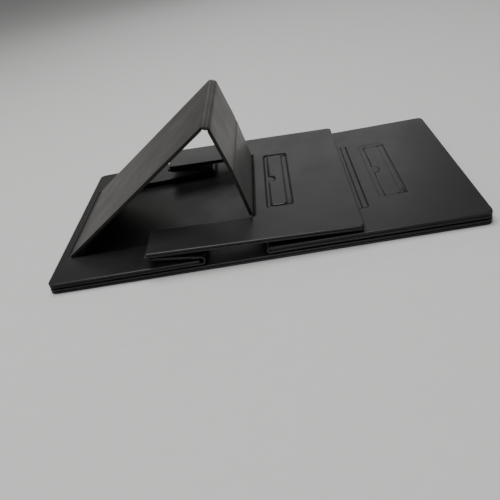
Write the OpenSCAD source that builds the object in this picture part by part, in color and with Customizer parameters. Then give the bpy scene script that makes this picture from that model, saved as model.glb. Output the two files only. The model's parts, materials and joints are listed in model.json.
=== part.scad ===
// Folding two-tier tablet stand: leather-wrapped boards joined by rolled leather creases.

/* [Size] */
// Length along X
body_l = 452; // [450:1:456]
// Depth along Y
body_w = 265; // [255:1:275]
// Plan corner radius of the base sheet
corner_r = 7; // [3:0.5:12]

/* [Window] */
// Front edge of the support window
win_y0 = 48.5; // [44:0.5:52]
// Back edge of the support window
win_y1 = 211.4; // [208:0.5:216]
// Side gap between the support and the window
win_gap = 0.6; // [0.5:0.1:1.5]

/* [Pull-up stop] */
// Recess length along Y
stop_l = 142; // [130:1:150]
// Recess width along X
stop_w = 29; // [26:0.5:30]
// Radius of the finger notch
notch_r = 9; // [7:0.5:10]
// Recess distance from the panel's left end
stop_x = 125.8; // [122:0.5:130]

/* [Leather] */
// Radius of a rolled crease
roll_r = 1.3; // [1.1:0.05:1.35]
// How far a board stays inside its skins
seam_in = 1.2; // [0.8:0.1:2]
// Thickness of the link strips
link_t = 2.8; // [2.2:0.1:2.9]

/* [Which part] */
// Sub-part to build

/* [Hidden] */
$fn = 32;
skin_col = [0.10, 0.10, 0.105];
edge_col = [0.07, 0.07, 0.075];
board_col = [0.36, 0.33, 0.29];
base_t = 5.2;
deck_z = 6.9;
deck_t = 5.2;
low_z = 7.0;
low_t = 7.0;
low_x = 231;
panel_l = body_l - low_x;
foot_x = 12;
foot_z = 10.7;
fold_x = 168;
fold_z = 12.7;
prop_l = 213.3;
prop_a = 34;
ridge_l = 6.5;
ridge_a = -20.25;
brace_l = 52.7;
brace_a = -74.5;
shin_l = 53.4;
shin_a = -78.9;
top_x = 109.3152;
top_z = 24.58;
top_a = -2;
top_t = 5.2;
top_l = 219.6;
top_foot = 109.9152;
link_l = 59.8752;
link_a = 168.5558;
back = 1.8;
cx5 = foot_x + prop_l * cos(prop_a);
cz5 = foot_z + prop_l * sin(prop_a);
cx6 = cx5 + ridge_l * cos(ridge_a);
cz6 = cz5 + ridge_l * sin(ridge_a);
cx7 = cx6 + brace_l * cos(brace_a);
cz7 = cz6 + brace_l * sin(brace_a);
leg_y0 = win_y0 + win_gap;
leg_y1 = win_y1 - win_gap;

module at(x, z, a) {
  translate([x - body_l / 2, -body_w / 2, z]) rotate([0, -a, 0]) children();
}

module rrect(x0, x1, y0, y1, r) {
  hull()
    for (x = [x0 + r, x1 - r], y = [y0 + r, y1 - r])
      translate([x, y]) circle(r);
}

// A plan with one radius at its left corners and another at its right ones.
module rrect2(x0, x1, y0, y1, rl, rr) {
  hull() {
    for (y = [y0 + rl, y1 - rl])
      translate([x0 + rl, y]) circle(rl);
    for (y = [y0 + rr, y1 - rr])
      translate([x1 - rr, y]) circle(rr);
  }
}

module slab(x0, x1, y0, y1, z0, z1, r) {
  translate([0, 0, z0]) linear_extrude(height = z1 - z0) rrect(x0, x1, y0, y1, r);
}

module rod(x, z, y0, y1, r) {
  translate([x, y1, z]) rotate([90, 0, 0]) cylinder(r = r, h = y1 - y0, $fn = 40);
}

module bar(x0, x1, y0, y1, z0, z1) {
  translate([x0, y0, z0]) cube([x1 - x0, y1 - y0, z1 - z0]);
}

// A sheet with a window that is open at one end.
module u_plan(x0, x1, wx0, wx1, s, rl, rr) {
  difference() {
    rrect2(x0 + s, x1 - s, s, body_w - s, rl, rr);
    translate([wx0 - s, win_y0 - s]) square([wx1 - wx0 + 2 * s, win_y1 - win_y0 + 2 * s]);
  }
}

module u_slab(x0, x1, wx0, wx1, z0, z1, s, rl, rr) {
  translate([0, 0, z0]) linear_extrude(height = z1 - z0)
    u_plan(x0, x1, wx0, wx1, s, rl, rr);
}

// The recess for the pull-up stop.
module stop_plan(s) {
  rrect(stop_x - s, stop_x + stop_w + s, (body_w - stop_l) / 2 - s, (body_w + stop_l) / 2 + s, 6);
}

module stop_cut(z0, z1, s) {
  translate([0, 0, z0]) linear_extrude(height = z1 - z0) stop_plan(s);
}

// The stop plate, with a finger notch in its left edge.
module stop_plate(z0, z1, s) {
  translate([0, 0, z0]) linear_extrude(height = z1 - z0)
    difference() {
      rrect(stop_x + 5 + s, stop_x + stop_w - 6.5 - s, (body_w - stop_l) / 2 + 6 + s,
        (body_w + stop_l) / 2 - 6 - s, 4);
      translate([stop_x + 3, body_w / 2]) circle(notch_r + s);
    }
}

module stop_roll(z) {
  rod(stop_x + stop_w - 1.8, z, (body_w - stop_l) / 2 + 11, (body_w + stop_l) / 2 - 11, 1.1);
  bar(stop_x + stop_w - 6.5, stop_x + stop_w - 1.8, (body_w - stop_l) / 2 + 11,
    (body_w + stop_l) / 2 - 11, z - 0.4, z + 0.4);
}

module leg_slab(l, z0, z1, s) {
  slab(back + s, l - back - s, leg_y0 + s, leg_y1 - s, z0, z1, 1.2);
}

module base_skin_lower() {
  color(skin_col) at(0, 0, 0) slab(0, body_l, 0, body_w, 0, 1.6, corner_r);
}

module base_board_left() {
  color(board_col) at(0, 0, 0)
    slab(seam_in, body_l / 2 - 1.5, seam_in, body_w - seam_in, 1.6, 3.6, 5);
}

module base_board_right() {
  color(board_col) at(0, 0, 0)
    slab(body_l / 2 + 1.5, body_l - seam_in, seam_in, body_w - seam_in, 1.6, 3.6, 5);
}

module base_skin_upper() {
  color(skin_col) at(0, 0, 0)
    difference() {
      slab(0, body_l, 0, body_w, 3.6, base_t, corner_r);
      bar(body_l / 2 - 1, body_l / 2 + 1, -1, body_w + 1, 4.5, 6);
    }
}

module spine_left() {
  color(edge_col) at(0, 0, 0) {
    rod(0, 6.0, 8, body_w - 8, 0.55);
    bar(0, 14, 8, body_w - 8, base_t, 5.7);
  }
}

module spine_right() {
  color(edge_col) at(0, 0, 0) {
    bar(body_l - 16, body_l, 8, body_w - 8, base_t, low_z);
    bar(body_l, body_l + 0.8, 8, body_w - 8, 0.6, low_z + low_t - 0.6);
  }
}

module low_skin_lower() {
  color(skin_col) at(low_x, low_z, 0)
    u_slab(0, panel_l, -5, 110, 0, 1.8, 0, 2, corner_r);
}

module low_board() {
  color(board_col) at(low_x, low_z, 0)
    difference() {
      u_slab(0, panel_l, -5, 110, 1.8, low_t - 1.8, seam_in, 2, corner_r);
      stop_cut(1, low_t, seam_in);
    }
}

module low_skin_upper() {
  color(skin_col) at(low_x, low_z, 0)
    difference() {
      u_slab(0, panel_l, -5, 110, low_t - 1.8, low_t, 0, 2, corner_r);
      stop_cut(0, low_t + 1, 0);
    }
}

module low_flap_near() {
  color(skin_col) at(low_x, low_z, 0)
    slab(104.2, 108.6, leg_y0, leg_y1, 3.4, low_t - 0.15, 0.6);
}

module low_flap_far() {
  color(skin_col) at(low_x, low_z, 0)
    slab(1, 102.4, leg_y0, leg_y1, 3.4, low_t - 0.15, 1.2);
}

module low_crease_roll() {
  color(edge_col) at(low_x, low_z, 0) {
    rod(103.3, 5.2, leg_y0, leg_y1, 0.9);
    rod(109.3, 5.2, leg_y0, leg_y1, 0.7);
  }
}

module deck_skin_lower() {
  color(skin_col) at(0, deck_z, 0)
    u_slab(0.3, fold_x - 1.6, foot_x - 1.6, 200, 0, 1.7, 0, corner_r, 2);
}

module deck_board() {
  color(board_col) at(0, deck_z, 0)
    u_slab(0.3, fold_x - 1.6, foot_x - 1.6, 200, 1.7, deck_t - 1.7, seam_in, corner_r, 2);
}

module deck_skin_upper() {
  color(skin_col) at(0, deck_z, 0)
    u_slab(0.3, fold_x - 1.6, foot_x - 1.6, 200, deck_t - 1.7, deck_t, 0, corner_r, 2);
}

module deck_foot_roll() {
  color(edge_col) at(0, 0, 0) {
    rod(foot_x, foot_z + 0.1, leg_y0, leg_y1, roll_r);
    bar(foot_x - 1.6, foot_x, leg_y0, leg_y1, foot_z, foot_z + 1.2);
  }
}

module deck_fold_rolls() {
  color(edge_col) at(0, 0, 0)
    for (y = [[3, win_y0 - 1], [win_y1 + 1, body_w - 3]]) {
      rod(fold_x, fold_z, y[0], y[1], roll_r);
      bar(fold_x - 1.6, fold_x, y[0], y[1], deck_z + deck_t - 1.2, deck_z + deck_t);
    }
}

module link_strip(y0, y1) {
  translate([0, y1, 0]) rotate([90, 0, 0]) linear_extrude(height = y1 - y0)
    polygon([[1.9, -link_t], [1.9, 0], [link_l - 1.9, 0.35 + link_t], [link_l - 1.9, 0.35]]);
}

module link_front() {
  color(skin_col) at(fold_x, fold_z, link_a) link_strip(1.5, win_y0 - 0.5);
}

module link_back() {
  color(skin_col) at(fold_x, fold_z, link_a) link_strip(win_y1 + 0.5, body_w - 1.5);
}

module top_skin_lower() {
  color(skin_col) at(top_x, top_z, top_a)
    u_slab(0.9, top_l, -5, top_foot + 1.6, 0, 1.6, 0, 2, 5);
}

module top_board() {
  color(board_col) at(top_x, top_z, top_a)
    difference() {
      u_slab(0.9, top_l, -5, top_foot + 1.6, 1.6, top_t - 1.6, seam_in, 2, 5);
      stop_cut(1, top_t, seam_in);
    }
}

module top_skin_upper() {
  color(skin_col) at(top_x, top_z, top_a)
    difference() {
      u_slab(0.9, top_l, -5, top_foot + 1.6, top_t - 1.6, top_t, 0, 2, 5);
      stop_cut(0, top_t + 1, 0);
    }
}

module top_foot_roll() {
  color(edge_col) at(top_x, top_z, top_a) {
    rod(top_foot, top_t - 1.4, leg_y0, leg_y1, roll_r);
    bar(top_foot, top_foot + 1.6, leg_y0, leg_y1, top_t - 1.5, top_t - 0.4);
  }
}

module top_fold_rolls() {
  color(edge_col) at(top_x, top_z, top_a)
    for (y = [[3, win_y0 - 1], [win_y1 + 1, body_w - 3]]) {
      rod(0, 0.2, y[0], y[1], 0.85);
      bar(0, 0.9, y[0], y[1], 0.1, 1.1);
    }
}

module stop_upper_plate() {
  color(skin_col) at(top_x, top_z, top_a)
    difference() {
      stop_plate(1.9, top_t - 0.3, 0);
      stop_plate(2.5, top_t - 1.0, 1);
    }
}

module stop_upper_core() {
  color([0.55, 0.56, 0.58]) at(top_x, top_z, top_a) stop_plate(2.5, top_t - 1.0, 1);
}

module stop_upper_roll() {
  color(edge_col) at(top_x, top_z, top_a) stop_roll(3.4);
}

module stop_lower_plate() {
  color(skin_col) at(low_x, low_z, 0)
    difference() {
      stop_plate(2.3, low_t - 0.3, 0);
      stop_plate(3.1, low_t - 1.2, 1);
    }
}

module stop_lower_core() {
  color([0.55, 0.56, 0.58]) at(low_x, low_z, 0) stop_plate(3.1, low_t - 1.2, 1);
}

module stop_lower_roll() {
  color(edge_col) at(low_x, low_z, 0) stop_roll(5.2);
}

module prop_skin_outer() {
  color(skin_col) at(foot_x, foot_z, prop_a) leg_slab(prop_l, 0, 1.4, 0);
}

module prop_board() {
  color(board_col) at(foot_x, foot_z, prop_a) leg_slab(prop_l, -1.1, 0, 1);
}

module prop_skin_inner() {
  color(skin_col) at(foot_x, foot_z, prop_a) leg_slab(prop_l, -2.2, -1.1, 0);
}

module ridge_band() {
  color(edge_col) at(cx5, cz5, ridge_a) {
    rod(0, 0, leg_y0 + 1, leg_y1 - 1, 1.3);
    rod(ridge_l, 0, leg_y0 + 1, leg_y1 - 1, 1.3);
    bar(0, ridge_l, leg_y0 + 1, leg_y1 - 1, -0.6, 1.3);
  }
}

module brace_skin_outer() {
  color(skin_col) at(cx6, cz6, brace_a) leg_slab(brace_l, 0, 1.4, 0);
}

module brace_board() {
  color(board_col) at(cx6, cz6, brace_a) leg_slab(brace_l, -1.1, 0, 1);
}

module brace_skin_inner() {
  color(skin_col) at(cx6, cz6, brace_a) leg_slab(brace_l, -2.2, -1.1, 0);
}

module shin_skin_outer() {
  color(skin_col) at(cx7, cz7, shin_a) leg_slab(shin_l, 0, 1.4, 0);
}

module shin_board() {
  color(board_col) at(cx7, cz7, shin_a) leg_slab(shin_l, -1.1, 0, 1);
}

module shin_skin_inner() {
  color(skin_col) at(cx7, cz7, shin_a) leg_slab(shin_l, -2.2, -1.1, 0);
}

module knee_roll() {
  color(edge_col) at(cx7, cz7, shin_a) {
    rod(0, 0, leg_y0 + 1, leg_y1 - 1, 1.2);
    bar(0, back, leg_y0 + 1, leg_y1 - 1, 0.1, 0.9);
  }
}

base_skin_lower();
base_board_left();
base_board_right();
base_skin_upper();
spine_left();
spine_right();
low_skin_lower();
low_board();
low_skin_upper();
low_flap_near();
low_flap_far();
low_crease_roll();
deck_skin_lower();
deck_board();
deck_skin_upper();
deck_foot_roll();
deck_fold_rolls();
link_front();
link_back();
top_skin_lower();
top_board();
top_skin_upper();
top_foot_roll();
top_fold_rolls();
stop_upper_plate();
stop_upper_core();
stop_upper_roll();
stop_lower_plate();
stop_lower_core();
stop_lower_roll();
prop_skin_outer();
prop_board();
prop_skin_inner();
ridge_band();
brace_skin_outer();
brace_board();
brace_skin_inner();
shin_skin_outer();
shin_board();
shin_skin_inner();
knee_roll();
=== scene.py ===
import json
import math
from collections import namedtuple

import bmesh
import bpy
from mathutils import Matrix, Vector
from mathutils.geometry import tessellate_polygon


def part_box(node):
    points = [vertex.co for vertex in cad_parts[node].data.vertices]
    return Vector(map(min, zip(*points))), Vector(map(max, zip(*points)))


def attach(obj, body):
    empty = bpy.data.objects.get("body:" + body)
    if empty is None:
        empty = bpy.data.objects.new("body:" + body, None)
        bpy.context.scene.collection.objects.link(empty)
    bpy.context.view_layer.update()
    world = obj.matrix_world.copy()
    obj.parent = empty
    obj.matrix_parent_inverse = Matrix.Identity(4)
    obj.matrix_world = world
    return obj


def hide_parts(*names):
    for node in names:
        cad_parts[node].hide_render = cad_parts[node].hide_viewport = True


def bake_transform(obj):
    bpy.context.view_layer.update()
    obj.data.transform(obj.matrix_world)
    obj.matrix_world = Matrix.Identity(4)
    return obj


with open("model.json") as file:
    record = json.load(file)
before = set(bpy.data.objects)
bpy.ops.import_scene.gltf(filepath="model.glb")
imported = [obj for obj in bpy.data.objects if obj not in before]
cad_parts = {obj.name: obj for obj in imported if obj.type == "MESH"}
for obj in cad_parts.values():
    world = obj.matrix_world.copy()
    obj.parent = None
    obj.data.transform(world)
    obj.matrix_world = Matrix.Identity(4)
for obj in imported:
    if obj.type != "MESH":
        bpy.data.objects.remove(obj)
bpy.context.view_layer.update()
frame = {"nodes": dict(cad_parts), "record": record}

# A folding tablet stand of leather over boards. The base sheet carries a panel at the lower right
# and, on the left, the upper tier: the deck panel, two links, the top panel and the support that
# the top panel pushes up. X runs to the right, Y to the back and Z up.
# Lengths are in millimetres, apart from those of the floor, lights and camera.
MM = 0.001
FLAT = Matrix.Identity(4)


# ---------------------------------------------------------------- materials

def new_material(name):
    """A material, its node tree, its surface node and the socket of the place on the object."""
    material = bpy.data.materials.new(name)
    material.use_nodes = True
    tree = material.node_tree
    where = tree.nodes.new("ShaderNodeTexCoord").outputs["Object"]
    return material, tree, tree.nodes["Principled BSDF"], where


def noise(tree, where, scale, detail=2):
    node = tree.nodes.new("ShaderNodeTexNoise")
    node.inputs["Scale"].default_value = scale
    node.inputs["Detail"].default_value = detail
    tree.links.new(where, node.inputs["Vector"])
    return node.outputs["Fac"]


def ramp(tree, value, *stops):
    """Colours over a value. Each stop is a position and its colour."""
    node = tree.nodes.new("ShaderNodeValToRGB")
    elements = node.color_ramp.elements
    for i, (position, colour) in enumerate(stops):
        element = elements[i] if i < len(elements) else elements.new(position)
        element.position = position
        element.color = (*colour, 1)
    tree.links.new(value, node.inputs["Fac"])
    return node.outputs["Color"]


def remap(tree, value, source, target):
    """A value carried over from the range source to the range target."""
    node = tree.nodes.new("ShaderNodeMapRange")
    for socket, end in zip(("From Min", "From Max", "To Min", "To Max"), (*source, *target)):
        node.inputs[socket].default_value = end
    tree.links.new(value, node.inputs["Value"])
    return node.outputs["Result"]


def product(tree, value, factor):
    """A value times a number or another value."""
    node = tree.nodes.new("ShaderNodeMath")
    node.operation = "MULTIPLY"
    tree.links.new(value, node.inputs[0])
    if isinstance(factor, bpy.types.NodeSocket):
        tree.links.new(factor, node.inputs[1])
    else:
        node.inputs[1].default_value = factor
    return node.outputs[0]


def relief(tree, height, strength, depth, under=None):
    """Bumps from a height, depth in metres, laid over the bumps in under."""
    node = tree.nodes.new("ShaderNodeBump")
    node.inputs["Strength"].default_value = strength
    node.inputs["Distance"].default_value = depth
    tree.links.new(height, node.inputs["Height"])
    if under is not None:
        tree.links.new(under, node.inputs["Normal"])
    return node.outputs["Normal"]


def leather(name, dark, light, rough, bump=0.5, wear_and_highlight=0.0, spec=0.45, reflection_tint=(1, 1, 1)):
    """Coated leather: pebble grain, soft tone changes, slow waves and lighter edges, partly worn
    leather and partly a painted highlight along the edge rounding. bump scales all of its relief,
    and the sixth argument is how much of that lighter edge colour shows."""
    # the lighter edge colour: worn leather and also a painted highlight on the rounded edges
    rubbed_highlight_colour = (0.11, 0.108, 0.105, 1)
    material, tree, surface, where = new_material(name)
    colour = ramp(tree, noise(tree, where, scale=14, detail=5), (0.32, dark), (0.7, light))
    if wear_and_highlight:
        pointed = tree.nodes.new("ShaderNodeNewGeometry").outputs["Pointiness"]
        edges = remap(tree, pointed, (0.52, 0.62), (0, 1))
        rubbed_and_highlight = product(tree, product(tree, edges, noise(tree, where, scale=220)), wear_and_highlight)
        mix = tree.nodes.new("ShaderNodeMixRGB")
        mix.inputs["Color2"].default_value = rubbed_highlight_colour
        tree.links.new(rubbed_and_highlight, mix.inputs["Fac"])
        tree.links.new(colour, mix.inputs["Color1"])
        colour = mix.outputs["Color"]
    tree.links.new(colour, surface.inputs["Base Color"])
    clouds = noise(tree, where, scale=30, detail=6)
    tree.links.new(remap(tree, clouds, (0.3, 0.7), (rough - 0.04, rough + 0.05)),
                   surface.inputs["Roughness"])
    pebbles = tree.nodes.new("ShaderNodeTexVoronoi")
    pebbles.feature = "SMOOTH_F1"
    pebbles.inputs["Scale"].default_value = 1500
    tree.links.new(where, pebbles.inputs["Vector"])
    grain = relief(tree, pebbles.outputs["Distance"], 0.35 * bump, 0.00012)
    grain = relief(tree, noise(tree, where, scale=2600, detail=3), 0.25 * bump, 0.00008, grain)
    waves = relief(tree, noise(tree, where, scale=9), 0.5 * bump, 0.0012, grain)
    tree.links.new(waves, surface.inputs["Normal"])
    surface.inputs["Specular IOR Level"].default_value = spec
    # a tint on the reflection; the warm one on the support's leather is painted warm light
    surface.inputs["Specular Tint"].default_value = (*reflection_tint, 1)
    surface.inputs["Sheen Weight"].default_value = 0.08
    surface.inputs["Sheen Roughness"].default_value = 0.4
    return material


def fibre_board(name):
    """Pressed grey board with flecks, seen only in the seams."""
    material, tree, surface, where = new_material(name)
    colour = ramp(tree, noise(tree, where, scale=700, detail=4),
                  (0, (0.006, 0.006, 0.006)), (1, (0.016, 0.015, 0.014)))
    tree.links.new(colour, surface.inputs["Base Color"])
    surface.inputs["Roughness"].default_value = 0.9
    return material


def brushed(name):
    """Steel strip, brushed along Y."""
    material, tree, surface, where = new_material(name)
    mapping = tree.nodes.new("ShaderNodeMapping")
    mapping.inputs["Scale"].default_value = (900, 12, 900)
    tree.links.new(where, mapping.inputs["Vector"])
    streaks = noise(tree, mapping.outputs["Vector"], scale=5)
    tree.links.new(remap(tree, streaks, (0, 1), (0.25, 0.5)), surface.inputs["Roughness"])
    surface.inputs["Base Color"].default_value = (0.5, 0.51, 0.53, 1)
    surface.inputs["Metallic"].default_value = 1
    return material


# Each leather's edge factor lightens its pointed edges: partly worn leather, partly a painted
# highlight.
SKIN = leather("leather", (0.0085, 0.0087, 0.0092), (0.0120, 0.0122, 0.0128), 0.35, wear_and_highlight=0.5)
# a lighter, warmer copy of the leather for the support's panels, with a warm tint on its
# reflection: painted warm light
PROP_SKIN_WARM_LIT = leather("leather_prop_warm_lit", (0.0110, 0.0100, 0.0086), (0.0150, 0.0137, 0.0120), 0.40,
                    wear_and_highlight=0.25, spec=0.3, reflection_tint=(1.0, 0.84, 0.70))
# a darker copy of the leather for cut edges, undersides, slots and valleys: painted shade on faces
# turned away from the light
EDGE_SHADE = leather("leather_edge_shade", (0.0035, 0.0035, 0.004), (0.0055, 0.0055, 0.006), 0.52, bump=0.6)
# a darker copy of the leather for creases, folds and grooves: painted shade
CREASE_SHADE = leather("leather_crease", (0.0045, 0.0045, 0.005), (0.0070, 0.0070, 0.0075), 0.45,
                 bump=0.8, wear_and_highlight=0.15)
BOARD = fibre_board("board")
STEEL = brushed("steel_strip")


# ---------------------------------------------------------------- outlines
# Each outline is a function of how far it is drawn in from its edge, and always gives as many
# points, so that its rings can be joined.

SHARP = 0.05       # the least radius of a corner that is drawn in
WINDOW_R = 1.2     # the corner radius inside a window


def arc(cx, cy, r, a0, a1, n=8, ry=None):
    """Points from a0 to a1 degrees on a circle, or on an ellipse of half height ry."""
    turns = [math.radians(a0 + (a1 - a0) * i / n) for i in range(n + 1)]
    return [(cx + r * math.cos(t), cy + (ry or r) * math.sin(t)) for t in turns]


def corners(left, right, low, high, r):
    """Quarter circles round the four corner centres."""
    return (arc(right, high, r, 0, 90) + arc(left, high, r, 90, 180)
            + arc(left, low, r, 180, 270) + arc(right, low, r, 270, 360))


def rounded(x0, x1, y0, y1, r):
    """A rounded rectangle."""
    def at(s):
        q = max(r - s, SHARP)
        return corners(x0 + s + q, x1 - s - q, y0 + s + q, y1 - s - q, q)
    return at


def hole(x0, x1, y0, y1, r):
    """A rounded rectangular opening: drawn in, it gets larger."""
    def at(s):
        return corners(x0 + r, x1 - r, y0 + r, y1 - r, r + s)
    return at


def u_shape(x0, x1, y0, y1, wx, wy0, wy1, r_left, r_right, open_right):
    """A sheet with a window, wy0 to wy1, that runs from wx out through its right or left end.
    r_left and r_right are the corner radii at its two ends."""
    def at(s):
        p, q, g = max(r_left - s, SHARP), max(r_right - s, SHARP), WINDOW_R + s
        a, b, c, d = x0 + s, x1 - s, y0 + s, y1 - s
        pts = arc(b - q, d - q, q, 0, 90) + arc(a + p, d - p, p, 90, 180)
        if open_right:
            w = wx + WINDOW_R
            pts += arc(a + p, c + p, p, 180, 270) + arc(b - q, c + q, q, 270, 360)
            pts += arc(b - q, wy0 - s - q, q, 0, 90) + arc(w, wy0 + WINDOW_R, g, 270, 180)
            return pts + arc(w, wy1 - WINDOW_R, g, 180, 90) + arc(b - q, wy1 + s + q, q, 270, 360)
        w = wx - WINDOW_R
        pts += arc(a + p, wy1 + s + p, p, 180, 270) + arc(w, wy1 - WINDOW_R, g, 90, 0)
        pts += arc(w, wy0 + WINDOW_R, g, 0, -90) + arc(a + p, wy0 - s - p, p, 90, 180)
        return pts + arc(a + p, c + p, p, 180, 270) + arc(b - q, c + q, q, 270, 360)
    return at


# ---------------------------------------------------------------- meshes

def make(name, verts, faces, mat, place, sides=None, side_faces=slice(0)):
    """A smooth mesh object with its faces turned outwards. sides is the finish of side_faces."""
    mesh = bpy.data.meshes.new(name)
    mesh.from_pydata([Vector(v) * MM for v in verts], [], faces)
    mesh.validate()
    mesh.polygons.foreach_set("use_smooth", [True] * len(mesh.polygons))
    mesh.transform(place)
    mesh.materials.append(mat)
    if sides:
        mesh.materials.append(sides)
        for face in mesh.polygons[side_faces]:
            face.material_index = 1
    bm = bmesh.new()
    bm.from_mesh(mesh)
    bmesh.ops.remove_doubles(bm, verts=bm.verts, dist=1e-7)
    bmesh.ops.recalc_face_normals(bm, faces=bm.faces)
    bm.to_mesh(mesh)
    bm.free()
    o = bpy.data.objects.new(name, mesh)
    bpy.context.scene.collection.objects.link(o)
    return o


def plate(name, loops, z0, z1, r, mat, place, wide=None, sides=None):
    """A flat piece with rounded edges. loops[0] is its outline and the rest are openings.
    The rounding reaches r down from each face and wide in from the side. sides is the finish
    of the cut edge below the upper rounding."""
    steps = 4      # in each rounding
    rim = 0.5      # a narrow ring of each face inside its rounding, which keeps the shading flat
    wide = wide or r
    quarter = [math.pi / 2 * i / steps for i in range(steps + 1)]
    rings = [(wide + rim, z0), (wide, z0)]
    rings += [(wide * (1 - math.sin(t)), z0 + r * (1 - math.cos(t))) for t in quarter[1:]]
    rings += [(wide * (1 - math.cos(t)), z1 - r + r * math.sin(t)) for t in quarter]
    rings += [(wide + rim, z1)]
    verts, faces, rows = [], [], []
    for s, z in rings:
        row = []
        for loop in loops:
            points = loop(s)
            row.append((len(verts), len(points)))
            verts += [(x, y, z) for x, y in points]
        rows.append(row)
    for lower, upper in zip(rows, rows[1:]):
        for (i, n), (j, _) in zip(lower, upper):
            faces += [(i + k, i + (k + 1) % n, j + (k + 1) % n, j + k) for k in range(n)]
    for row, up in ((rows[0], False), (rows[-1], True)):
        outlines = [[Vector(verts[i + k]) for k in range(n)] for i, n in row]
        index = [i + k for i, n in row for k in range(n)]
        for triangle in tessellate_polygon(outlines):
            f = [index[k] for k in triangle]
            a, b, c = (Vector(verts[k]) for k in f)
            faces.append(tuple(f if ((b - a).cross(c - a).z > 0) == up else reversed(f)))
    around = sum(n for _, n in rows[0])
    below_rounding = slice(around, around * (len(rings) - 1 - steps))
    return make(name, verts, faces, mat, place, sides, below_rounding)


def strip(name, path, thick, y0, y1, mat, place=FLAT, soft=0.35):
    """A leather strip: a path in X and Z given a thickness and run along Y. It thins out at the
    path's two ends, and its sides are rounded over the length soft."""
    thin_end = 0.45                                 # of the thickness
    rounding = ((0, 0.35), (0.3, 0.75), (1, 1))     # along soft, and of the thickness there
    spans = 10                                      # between the rounded sides
    last = len(path) - 1
    up, down = [], []
    for i, (x, z) in enumerate(path):
        a, b = path[max(i - 1, 0)], path[min(i + 1, last)]
        length = math.hypot(b[0] - a[0], b[1] - a[1])
        half = thick / 2 * (thin_end if i in (0, last) else 1)
        nx, nz = -(b[1] - a[1]) / length * half, (b[0] - a[0]) / length * half
        up.append((x + nx, z + nz))
        down.append((x - nx, z - nz))
    ring = up + down[::-1]
    middle = [((a[0] + b[0]) / 2, (a[1] + b[1]) / 2) for a, b in zip(ring, reversed(ring))]
    run = y1 - y0 - 2 * soft
    stations = [(y0 + soft * t, k) for t, k in rounding]
    stations += [(y0 + soft + run * i / spans, 1) for i in range(1, spans)]
    stations += [(y1 - soft * t, k) for t, k in reversed(rounding)]
    verts = [(mx + (x - mx) * k, y, mz + (z - mz) * k)
             for y, k in stations for (x, z), (mx, mz) in zip(ring, middle)]
    faces, m = [], len(ring)
    for s in range(0, (len(stations) - 1) * m, m):
        faces += [(s + i, s + (i + 1) % m, s + m + (i + 1) % m, s + m + i) for i in range(m)]
    for s in (0, (len(stations) - 1) * m):
        faces += [(s + i, s + i + 1, s + m - 2 - i, s + m - 1 - i) for i in range(last)]
    return make(name, verts, faces, mat, place)


# ---------------------------------------------------------------- where things are

Box = namedtuple("Box", "x0 y0 z0 x1 y1 z1")
record = frame["record"]
pivot = {j["name"]: (j["pos_m"][0] / MM, j["pos_m"][2] / MM)
         for j in record["behaviour"]["joints"]}


def box(node):
    """A CAD node's box."""
    lo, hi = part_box(node)
    return Box(*(v / MM for v in (*lo, *hi)))


def along(p, q):
    """The distance from p to q and the angle of that line, for points in X and Z."""
    return math.hypot(q[0] - p[0], q[1] - p[1]), math.atan2(q[1] - p[1], q[0] - p[0])


def off(p, *moves):
    """The point p in X and Z after moves, each an angle and a distance."""
    for angle, distance in moves:
        p = (p[0] + distance * math.cos(angle), p[1] + distance * math.sin(angle))
    return p


def line_from(p, angle):
    """A place whose X runs from p at this angle above the row's X. Its Y is the row's Y."""
    return Matrix.Translation(Vector((p[0], 0, p[1])) * MM) @ Matrix.Rotation(-angle, 4, "Y")


def add(o, body, *nodes, slot="leather"):
    """A piece on its body, shown for the CAD nodes named."""
    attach(o, body)
    if nodes:
        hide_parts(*nodes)


def add_fold(o, first, second, start, end, *nodes):
    """A crease piece across a joint, its placement baked into its mesh; the CAD nodes named are
    hidden. first, second, start and end are not used.
    """
    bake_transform(o)
    if nodes:
        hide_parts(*nodes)


sheet = box("base_skin_lower")
X0, X1, Y0, Y1 = sheet.x0, sheet.x1, sheet.y0, sheet.y1
support = box("prop_skin_outer")
SIDE0, SIDE1 = support.y0, support.y1
WINDOW_GAP = 0.6     # between the support and its window
WY0, WY1 = SIDE0 - WINDOW_GAP, SIDE1 + WINDOW_GAP

# The long support panel's foot isn't a joint: its place comes from the crease that it stands in.
foot_roll = box("deck_foot_roll")
FOOT = (foot_roll.x1 - 1.3, foot_roll.z0 + 1.4)
P_FOLD, P_TOP, P_SHIN = pivot["link_fold"], pivot["top_level"], pivot["shin_fold"]
P_KNEE, P_NEAR, P_FAR = pivot["knee_fold"], pivot["ridge_near"], pivot["ridge_far"]
LINK_L, LINK_A = along(P_FOLD, P_TOP)
PROP_L, PROP_A = along(FOOT, P_FAR)
RIDGE_L, RIDGE_A = along(P_FAR, P_NEAR)
BRACE_L, BRACE_A = along(P_NEAR, P_KNEE)
SHIN_L, SHIN_A = along(P_KNEE, P_SHIN)

# The top panel's lower face passes through its joint. The short support panels' foot lies
# TOP_FOOT along the panel and FOOT_SINK below its upper face.
TOP_T = 5.2
FOOT_SINK = 1.4
_reach, _slope = along(P_TOP, P_SHIN)
TOP_FOOT = math.sqrt(_reach ** 2 - (TOP_T - FOOT_SINK) ** 2)
TOP_A = _slope - math.atan2(TOP_T - FOOT_SINK, TOP_FOOT)
top_at = line_from(P_TOP, TOP_A)


# ---------------------------------------------------------------- stiffened panels and stops

Cover = namedtuple("Cover", "thick r wide")     # r and wide are plate's


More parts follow.
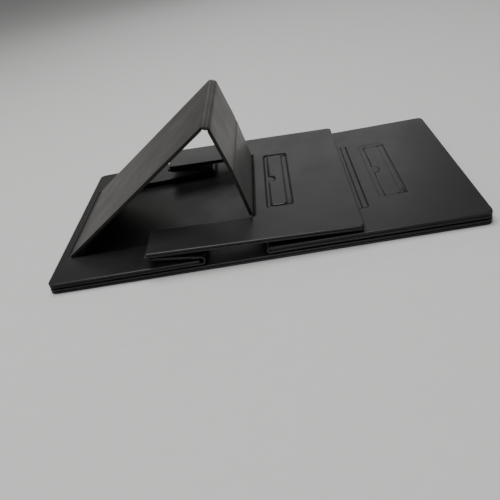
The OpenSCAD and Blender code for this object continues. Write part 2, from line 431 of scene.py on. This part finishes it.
def panel(tag, body, place, outline, core, z0, z1, lower, upper, inside, boards=None,
          opening=None):
    """A panel from z0 to z1: two covers and, in the seam between, the edge of its board. core is
    the board's outline and inside its distances from the panel's lower and upper faces."""
    # Both covers take the darker edge leather on their cut edges: painted shade on the sides.
    add(plate(tag + "_lower", [outline], z0, z0 + lower.thick, lower.r, SKIN, place, lower.wide,
              EDGE_SHADE), body, tag + "_skin_lower")
    add(plate(tag + "_upper", [outline, opening] if opening else [outline], z1 - upper.thick, z1,
              upper.r, SKIN, place, upper.wide, EDGE_SHADE), body, tag + "_skin_upper")
    add(plate(tag + "_core", [core], z0 + inside[0], z1 - inside[1], 0.2, BOARD, place),
        body, *(boards or (tag + "_board",)), slot="board")


STOP_W, STOP_R = 17.5, 4
NOTCH_R, NOTCH_OUT = 9, 2     # the notch's centre is out beyond the plate's edge
RECESS_LEFT, RECESS_RIGHT, RECESS_END = 5, 6.5, 6     # from the plate to the recess's edge


def recess(x0, y0, y1):
    """The recess round a pull-up stop, from the stop's own left edge and ends."""
    return hole(x0 - RECESS_LEFT, x0 + STOP_W + RECESS_RIGHT, y0 - RECESS_END, y1 + RECESS_END, 6)


def notched(x0, x1, y0, y1):
    """A stop's plate, with a round bite for a finger in the middle of its left edge."""
    def at(s):
        q = max(STOP_R - s, SHARP)
        h = math.degrees(math.acos((NOTCH_OUT + s) / (NOTCH_R + s)))
        pts = arc(x1 - s - q, y1 - s - q, q, 0, 90) + arc(x0 + s + q, y1 - s - q, q, 90, 180)
        pts += arc(x0 - NOTCH_OUT, (y0 + y1) / 2, NOTCH_R + s, h, -h, 20)
        pts += arc(x0 + s + q, y0 + s + q, q, 180, 270)
        return pts + arc(x1 - s - q, y0 + s + q, q, 270, 360)
    return at


def bite(x0, ym, gap):
    """The floor under the finger notch of a plate whose left edge is x0."""
    def at(s):
        r = NOTCH_R - gap - s
        h = math.degrees(math.acos((NOTCH_OUT - gap) / r))
        return arc(x0 - NOTCH_OUT, ym, r, -h, h, 20)
    return at


def stop(tag, body, holder, place, x0, y0, y1, z0, face, sink, groove, gap, soft):
    """A covered plate that lies in its recess, with a flexible band as its hinge. The recess has
    a raised floor round the plate, sink below its face, with a groove outside the floor and a gap
    inside it. The floor belongs to holder. soft is how far the plate's edge rounds over."""
    x1 = x0 + STOP_W
    # The plate's cut edge is in the darker edge leather: painted shade.
    add(plate(tag + "_plate", [notched(x0, x1, y0, y1)], z0, face, soft, SKIN, place, soft * 1.5,
              EDGE_SHADE), body, tag + "_plate", tag + "_core")
    top = face - sink
    band = top - 0.35
    hinge = [(x1 - 0.9, band - 0.7), (x1 + 0.3, band - 0.5), (x1 + 1.1, band - 0.05),
             (x1 + 2.2, band), (x1 + 3.8, band), (x1 + 5.2, band),
             (x1 + RECESS_RIGHT - max(groove, 0.2), band - 0.15)]
    add(strip(tag + "_hinge", hinge, 0.7, y0 + 1, y1 - 1, SKIN, place), body, tag + "_roll",
        slot="leather_crease")
    around = u_shape(x0 - RECESS_LEFT + groove, x1 + RECESS_RIGHT - groove,
                     y0 - RECESS_END + groove, y1 + RECESS_END - groove,
                     x0 - gap, y0 - gap, y1 + gap, r_left=5.2, r_right=2.2, open_right=True)
    add(plate(tag + "_floor", [around], top - 1.0, top, 0.35, SKIN, place, 0.5), holder)
    add(plate(tag + "_notch_floor", [bite(x0, (y0 + y1) / 2, gap)], top - 1.0, top, 0.3, SKIN,
              place, 0.4), holder)


# ---------------------------------------------------------------- base sheet

base_top = box("base_skin_upper").z1
panel("base", "base", FLAT, rounded(X0, X1, Y0, Y1, 7),
      rounded(X0 + 0.9, X1 - 0.9, Y0 + 0.9, Y1 - 0.9, 6), 0, base_top,
      Cover(1.9, 0.85, 1.1), Cover(2.3, 1.0, 1.6), (1.2, 1.4),
      boards=("base_board_left", "base_board_right"))

# ---------------------------------------------------------------- lower right panel

low_x0, low_x1 = box("low_skin_upper").x0, box("low_skin_upper").x1
low_z0, low_z1 = box("low_skin_lower").z0, box("low_skin_upper").z1
low_cover_x0 = low_x0 + 3.2     # the covers end inside the leather that wraps round the edge
low_window = low_x0 + 110
low_stop = box("stop_lower_plate")
panel("low", "base", FLAT,
      u_shape(low_cover_x0, low_x1, Y0, Y1, low_window, WY0, WY1,
              r_left=1, r_right=7, open_right=False),
      u_shape(low_x0 + 2, low_x1 - 1, Y0 + 1, Y1 - 1, low_window + 1, WY0 - 1, WY1 + 1,
              r_left=1, r_right=6, open_right=False),
      low_z0, low_z1, Cover(2.3, 1.0, 1.3), Cover(3.0, 1.25, 1.6), (1.8, 2.9),
      opening=recess(low_stop.x0, low_stop.y0, low_stop.y1))

# the leather that wraps round its left edge, in front of the window and behind it
wrap_t = 1.5
wrap_r = (low_z1 - low_z0 - wrap_t) / 2
wrap_z = (low_z0 + low_z1) / 2
path = [(low_x0 + 9, wrap_z + wrap_r), (low_x0 + 6, wrap_z + wrap_r)]
path += arc(low_x0 + wrap_r + wrap_t / 2, wrap_z, wrap_r, 90, 270, 16)
path += [(low_x0 + 6, wrap_z - wrap_r), (low_x0 + 9, wrap_z - wrap_r)]
for tag, y0, y1 in (("front", Y0 + 0.2, WY0 - 0.2), ("back", WY1 + 0.2, Y1 - 0.2)):
    add(strip("low_fold_" + tag, path, wrap_t, y0, y1, SKIN), "base")

stop("stop_lower", "base", "base", FLAT, low_stop.x0, low_stop.y0, low_stop.y1, low_stop.z0,
     face=low_z1 - 0.05, sink=0.12, groove=-0.7, gap=0.4, soft=0.6)

# the second support, folded flat in the panel's window
far, near = box("low_flap_far"), box("low_flap_near")
flap_z0 = low_z1 - 3.4
add(plate("flap_far", [rounded(far.x0 + 3, far.x1 + 0.5, far.y0, far.y1, 1.2)],
          flap_z0, low_z1 - 0.12, 0.5, SKIN, FLAT, 0.7), "base", "low_flap_far")
add(plate("flap_near", [rounded(near.x0 - 0.5, near.x1 + 0.5, near.y0, near.y1, 1.0)],
          flap_z0, low_z1 - 0.2, 0.5, SKIN, FLAT, 0.7), "base", "low_flap_near")
# the strip under the crease, in the darker crease leather: painted shade in the grooves
add(plate("flap_under", [rounded(near.x0 - 3.2, near.x1 + 2.8, near.y0, near.y1, 1.0)],
          flap_z0 - 2.0, flap_z0 + 0.8, 0.4, CREASE_SHADE, FLAT), "base", "low_crease_roll",
    slot="leather_crease")

# ---------------------------------------------------------------- spines

# the spines are in the darker crease leather: the same painted shade as the folds
for name, nodes, thick, inset, path in (
        ("spine_left", ("spine_left",), 0.7, 6,
         [(X0 + 14, base_top + 0.1), (X0 + 4, base_top + 0.15), (X0 + 1.4, base_top + 0.45),
          (X0 - 0.05, base_top + 0.8)]),
        ("spine_right", ("spine_right",), 0.9, 7,
         [(X1 - 14, base_top + 0.7), (X1 - 3, base_top + 0.8), (X1 - 0.6, base_top + 0.2),
          (X1 + 0.25, 3.9), (X1 + 0.35, 2.4), (X1 - 0.1, 1.1)]),
        ("spine_right_up", (), 0.9, 7,
         [(X1 - 3, base_top + 0.8), (X1 - 0.6, base_top + 1.6), (X1 + 0.25, low_z0 + 1.9),
          (X1 + 0.35, low_z0 + 3.6), (X1 - 0.1, low_z0 + 5.2)])):
    add(strip(name, path, thick, Y0 + inset, Y1 - inset, CREASE_SHADE), "base", *nodes,
        slot="leather_crease")

# ---------------------------------------------------------------- deck panel

deck_x0 = box("deck_skin_upper").x0
deck_x1 = box("deck_skin_upper").x1 - 4.0     # the covers end inside the links' folds
deck_z0, deck_z1 = box("deck_skin_lower").z0, box("deck_skin_upper").z1
deck_window = FOOT[0] - 2.8
panel("deck", "deck", FLAT,
      u_shape(deck_x0, deck_x1, Y0, Y1, deck_window, WY0, WY1,
              r_left=7, r_right=1, open_right=True),
      u_shape(deck_x0 + 1, deck_x1 - 1, Y0 + 1, Y1 - 1, deck_window - 1, WY0 - 1, WY1 + 1,
              r_left=6, r_right=1, open_right=True),
      deck_z0, deck_z1, Cover(1.9, 0.85, 1.2), Cover(2.3, 1.05, 1.6), (1.5, 1.9))
# the slot at the long support panel's foot, in the darker edge leather: painted shade in the slot
path = [(FOOT[0] - 4.6, deck_z1 - 1.5), (FOOT[0] - 2.6, deck_z1 - 1.7),
        (FOOT[0] - 1.0, deck_z1 - 1.9), (FOOT[0] + 0.2, deck_z1 - 1.8),
        (FOOT[0] + 1.2, deck_z1 - 1.5)]
add(strip("deck_foot", path, 0.7, WY0 + 1, WY1 - 1, EDGE_SHADE), "deck", "deck_foot_roll",
    slot="leather_crease")

# ---------------------------------------------------------------- links

# A link runs to the left from the deck's fold up to the top panel, so its local Z points down.
# Its ends stay LINK_END from the two pivots, and it drops LINK_SKEW against the line between them.
ARMS = (("front", Y0 + 1.5, WY0 - 0.6), ("back", WY1 + 0.6, Y1 - 1.5))
LINK_HALF, LINK_END, LINK_SKEW = 1.4, 1.9, 3.15
link_run = LINK_L - 2 * LINK_END
skew = math.atan2(LINK_SKEW, link_run)
link_len = link_run / math.cos(skew)
link_at = (line_from(P_FOLD, LINK_A) @ Matrix.Translation((LINK_END * MM, 0, -LINK_HALF * MM))
           @ Matrix.Rotation(-skew, 4, "Y"))
for tag, y0, y1 in ARMS:
    # the lower half is in the darker edge leather: painted shade under the links
    for half, z0, z1, mat in (("_upper", -LINK_HALF, 0.05, SKIN), ("_lower", 0.1, LINK_HALF, EDGE_SHADE)):
        add(plate("link_" + tag + half, [rounded(4.5, link_len, y0, y1, 1.5)], z0, z1, 0.6, mat,
                  link_at, 0.9), "link", "link_" + tag)


def link_top(x):
    """The height of the links' upper face over a place along the row."""
    a = link_at @ Vector((0, 0, -LINK_HALF * MM))
    b = link_at @ Vector((link_len * MM, 0, -LINK_HALF * MM))
    return (a.z + (b.z - a.z) * (x * MM - a.x) / (b.x - a.x)) / MM


# ---------------------------------------------------------------- top panel

top_len = (box("top_skin_upper").x1 - P_TOP[0]) / math.cos(TOP_A)
top_window = TOP_FOOT + 2.9
top_stop = box("stop_upper_plate")
# The panel tilts, so a corner of the plate lies less far along the panel than along the row.
STOP_HEIGHT = 3     # about how high that corner is over the panel's lower face
top_stop_x = (top_stop.x0 - P_TOP[0]) / math.cos(TOP_A) - STOP_HEIGHT * math.sin(abs(TOP_A))
panel("top", "top", top_at,
      u_shape(1.0, top_len, Y0, Y1, top_window, WY0, WY1,
              r_left=1.5, r_right=5, open_right=False),
      u_shape(2.2, top_len - 1, Y0 + 1, Y1 - 1, top_window + 1, WY0 - 1, WY1 + 1,
              r_left=1, r_right=4, open_right=False),
      0, TOP_T, Cover(2.0, 0.9, 1.3), Cover(2.4, 1.1, 1.6), (1.4, 2.3),
      opening=recess(top_stop_x, top_stop.y0, top_stop.y1))
stop("stop_upper", "stop_upper", "top", top_at, top_stop_x, top_stop.y0, top_stop.y1, 1.9,
     face=TOP_T - 0.05, sink=1.3, groove=1.3, gap=0.9, soft=1.5)

# ---------------------------------------------------------------- the support

WING_FACE = 1.4     # from the pivots to a wing's outer face
WING_END = 1.8      # from the pivots to a wing's ends


def wing(tag, p, angle, length):
    """One stiffened panel of the support, from the pivot p: two covers with a seam between."""
    at = line_from(p, angle)
    x0, x1 = WING_END, length - WING_END
    outline = rounded(x0, x1, SIDE0, SIDE1, 1.6)
    # The covers' cut edges are in the darker edge leather: painted shade.
    add(plate(tag + "_outer", [outline], -0.35, WING_FACE, 0.75, PROP_SKIN_WARM_LIT, at, 1.1, EDGE_SHADE),
        tag, tag + "_skin_outer")
    add(plate(tag + "_inner", [outline], -2.2, -0.65, 0.7, PROP_SKIN_WARM_LIT, at, 1.0, EDGE_SHADE),
        tag, tag + "_skin_inner")
    add(plate(tag + "_core", [rounded(x0 + 0.7, x1 - 0.7, SIDE0 + 0.7, SIDE1 - 0.7, 1.2)],
              -1.2, 0.1, 0.1, BOARD, at), tag, tag + "_board", slot="board")


wing("prop", FOOT, PROP_A, PROP_L)
wing("brace", P_NEAR, BRACE_A, BRACE_L)
wing("shin", P_KNEE, SHIN_A, SHIN_L)
# the ridge, its cut edge in the darker edge leather: painted shade
add(plate("ridge", [rounded(-0.4, RIDGE_L + 0.4, SIDE0, SIDE1, 1.2)], -1.9, 0.75, 0.9, PROP_SKIN_WARM_LIT,
          line_from(P_FAR, RIDGE_A), 1.3, EDGE_SHADE), "ridge", "ridge_band")


def bend(name, p, a0, a1, first, second, before, after):
    """The outer cover over one of the ridge's two bends, from direction a0 to a1: an arc that
    leaves one face and meets the next. before and after are how far it runs on along the two
    faces, and a run past 1 sinks its end into the face."""
    thick = 0.8
    tangent = 3.0     # from the bend's corner to either end of the cover's outer arc
    sink = 0.5
    n0, n1, half = a0 + math.pi / 2, a1 + math.pi / 2, (a1 - a0) / 2
    r = tangent / math.tan(abs(half)) - thick / 2
    t = r * math.tan(abs(half))
    corner = off(p, (n0 + half, (WING_FACE - thick / 2) / math.cos(half)))
    turn = arc(*off(corner, (a0, -t), (n0, -r)), r, math.degrees(n0), math.degrees(n1), 12)
    path = [off(turn[0], (a0, -before), (n0, -sink if before > 1 else 0))] + turn
    path += [off(turn[-1], (a1, after), (n1, -sink if after > 1 else 0))]
    add_fold(strip(name, path, thick, SIDE0 + 0.1, SIDE1 - 0.1, PROP_SKIN_WARM_LIT, soft=0.8),
             first, second, turn[0], turn[-1])


bend("crease_far", P_FAR, PROP_A, RIDGE_A, "prop", "ridge", before=1.6, after=0.5)
bend("crease_near", P_NEAR, RIDGE_A, BRACE_A, "ridge", "brace", before=0.5, after=1.6)

# the crease between the two short panels, round the knee's pivot, in the darker crease leather: a
# painted line of shade
KNEE_R, KNEE_REACH = 0.5, 2.6
out0, out1 = BRACE_A + math.pi / 2, SHIN_A + math.pi / 2
turn = arc(*P_KNEE, KNEE_R, math.degrees(out0), math.degrees(out1))
start = off(P_KNEE, (BRACE_A, -KNEE_REACH), (out0, KNEE_R))
end = off(P_KNEE, (SHIN_A, KNEE_REACH), (out1, KNEE_R))
leave = ((start[0] + turn[0][0]) / 2, (start[1] + turn[0][1]) / 2)
meet = ((end[0] + turn[-1][0]) / 2, (end[1] + turn[-1][1]) / 2)
add_fold(strip("crease_knee", [start, leave] + turn + [meet, end], 0.8, SIDE0 + 0.15,
               SIDE1 - 0.15, CREASE_SHADE), "brace", "shin", leave, meet, "knee_roll")

# the valley between the lowest support panel and the top panel, in the darker edge leather: a
# painted shadow where the two meet
sx, sz = P_SHIN
path = [(sx - 0.6, sz + 3.2), (sx + 0.3, sz + 1.2), (sx + 0.5, sz - 0.6), (sx + 1.1, sz - 1.9),
        (sx + 2.2, sz - 2.4)]
add_fold(strip("crease_shin", path, 0.6, SIDE0 + 0.15, SIDE1 - 0.15, EDGE_SHADE), "shin", "top",
         (sx, sz + 0.8), (sx + 0.9, sz - 1.2), "top_foot_roll")

# ---------------------------------------------------------------- the folds at the links' ends

# Leather that wraps right round the edge. The CAD has the front and back folds as one node, and
# the front piece names it.
fx, fz = P_FOLD
tx, tz = P_TOP
fold_low, fold_high = deck_z0 + 0.78, link_top(fx - 4.0) - 0.62
fold_z, fold_half = (fold_low + fold_high) / 2, (fold_high - fold_low) / 2
fold_path = [(fx - 13.0, fold_low + 0.3), (fx - 9.0, fold_low), (fx - 6.0, fold_low)]
fold_path += arc(fx - 3.6, fold_z, 3.0, -90, 90, 18, ry=fold_half)
fold_path += [(x, link_top(x) - depth)
              for x, depth in ((fx - 7.0, 0.62), (fx - 10.0, 0.66), (fx - 13.0, 1.1))]
# The lip round the top panel's end is in the darker crease leather: painted shade on its rim.
lip_path = [(tx + 6.0, tz - 1.75), (tx + 3.0, tz - 1.15)]
lip_path += arc(tx - 0.1, tz - 0.05, 1.2, -90, -270, 10, ry=0.85)
lip_path += [(tx + 2.0, tz + 0.75), (tx + 5.0, tz + 0.65)]
for tag, y0, y1 in ARMS:
    fold_nodes = ("deck_fold_rolls",) if tag == "front" else ()
    lip_nodes = ("top_fold_rolls",) if tag == "front" else ()
    add_fold(strip("fold_" + tag, fold_path, 1.4, y0 - 1.2, y1 + 0.4, SKIN), "deck", "link",
             (fx, fold_z - 1.5), (fx, fold_z + 1.5), *fold_nodes)
    add_fold(strip("lip_" + tag, lip_path, 0.8, y0 - 1.0, y1 + 0.2, CREASE_SHADE), "link", "top",
             (tx, tz - 1.0), (tx, tz + 0.7), *lip_nodes)

# every CAD node gets the finish of its slot
slot_mat = {"leather": SKIN, "leather_crease": CREASE_SHADE, "board": BOARD, "steel_strip": STEEL}
for subpart in record["subparts"]:
    node = frame["nodes"][subpart["node"]]
    node.data.materials.clear()
    node.data.materials.append(slot_mat[subpart["material_slot"]])

# ---------------------------------------------------------------- floor, light and camera
# From here on in metres and watts.

floor_mat, tree, surface, where = new_material("floor")
mottle = ramp(tree, noise(tree, where, scale=60),
              (0, (0.70, 0.70, 0.695)), (1, (0.74, 0.74, 0.735)))
tree.links.new(mottle, surface.inputs["Base Color"])
surface.inputs["Roughness"].default_value = 0.7

bpy.ops.mesh.primitive_plane_add(size=40, location=(0, 0, -0.0002))
floor = bpy.context.object
floor.name = "floor"
floor.data.materials.append(floor_mat)


def area(name, place, target, size, power, colour=(1, 1, 1)):
    data = bpy.data.lights.new(name, "AREA")
    data.shape = "RECTANGLE"
    data.size, data.size_y = size
    data.energy = power
    data.color = colour
    o = bpy.data.objects.new(name, data)
    o.location = place
    o.rotation_euler = (Vector(target) - Vector(place)).to_track_quat("-Z", "Y").to_euler()
    bpy.context.scene.collection.objects.link(o)


area("key", (-0.3, 0.2, 1.8), (0, 0, 0), (1.4, 1.2), 25)
area("back", (0.05, 1.6, 0.85), (0, 0, 0.02), (1.1, 0.7), 1.7)
area("left", (-1.6, -0.2, 1.0), (0, 0, 0.05), (1.2, 1.0), 3.5, (1.0, 0.88, 0.74))
area("front", (0.1, -0.9, 1.6), (0, 0, 0.02), (0.9, 0.3), 7)

# a studio that is pale up to about 20 degrees, dark at 35 and grey overhead
studio = bpy.data.worlds.new("studio")
bpy.context.scene.world = studio
studio.use_nodes = True
tree = studio.node_tree
height = tree.nodes.new("ShaderNodeSeparateXYZ")
tree.links.new(tree.nodes.new("ShaderNodeTexCoord").outputs["Generated"], height.inputs["Vector"])
glow = ramp(tree, height.outputs["Z"],
            (0.36, (0.50, 0.485, 0.46)), (0.56, (0.10, 0.105, 0.11)), (0.95, (0.3, 0.3, 0.31)))
tree.links.new(glow, tree.nodes["Background"].inputs["Color"])
tree.nodes["Background"].inputs["Strength"].default_value = 0.62

# the photo's camera, fitted on the stand's corners
AIM = Vector((-0.0924, 0.8417, -0.5320)).normalized()
ROLL = math.radians(-12.6)
cam_data = bpy.data.cameras.new("camera")
cam_data.sensor_width = 36
cam_data.lens = 40.3
cam_data.clip_start = 0.01
cam = bpy.data.objects.new("camera", cam_data)
bpy.context.scene.collection.objects.link(cam)
cam.location = (0.0397, -0.5994, 0.3106)
level = AIM.cross(Vector((0, 0, 1))).normalized()
upright = level.cross(AIM)
cam_x = level * math.cos(ROLL) + upright * math.sin(ROLL)
cam_y = upright * math.cos(ROLL) - level * math.sin(ROLL)
cam.rotation_mode = "QUATERNION"
cam.rotation_quaternion = Matrix((cam_x, cam_y, -AIM)).transposed().to_quaternion()
bpy.context.scene.camera = cam
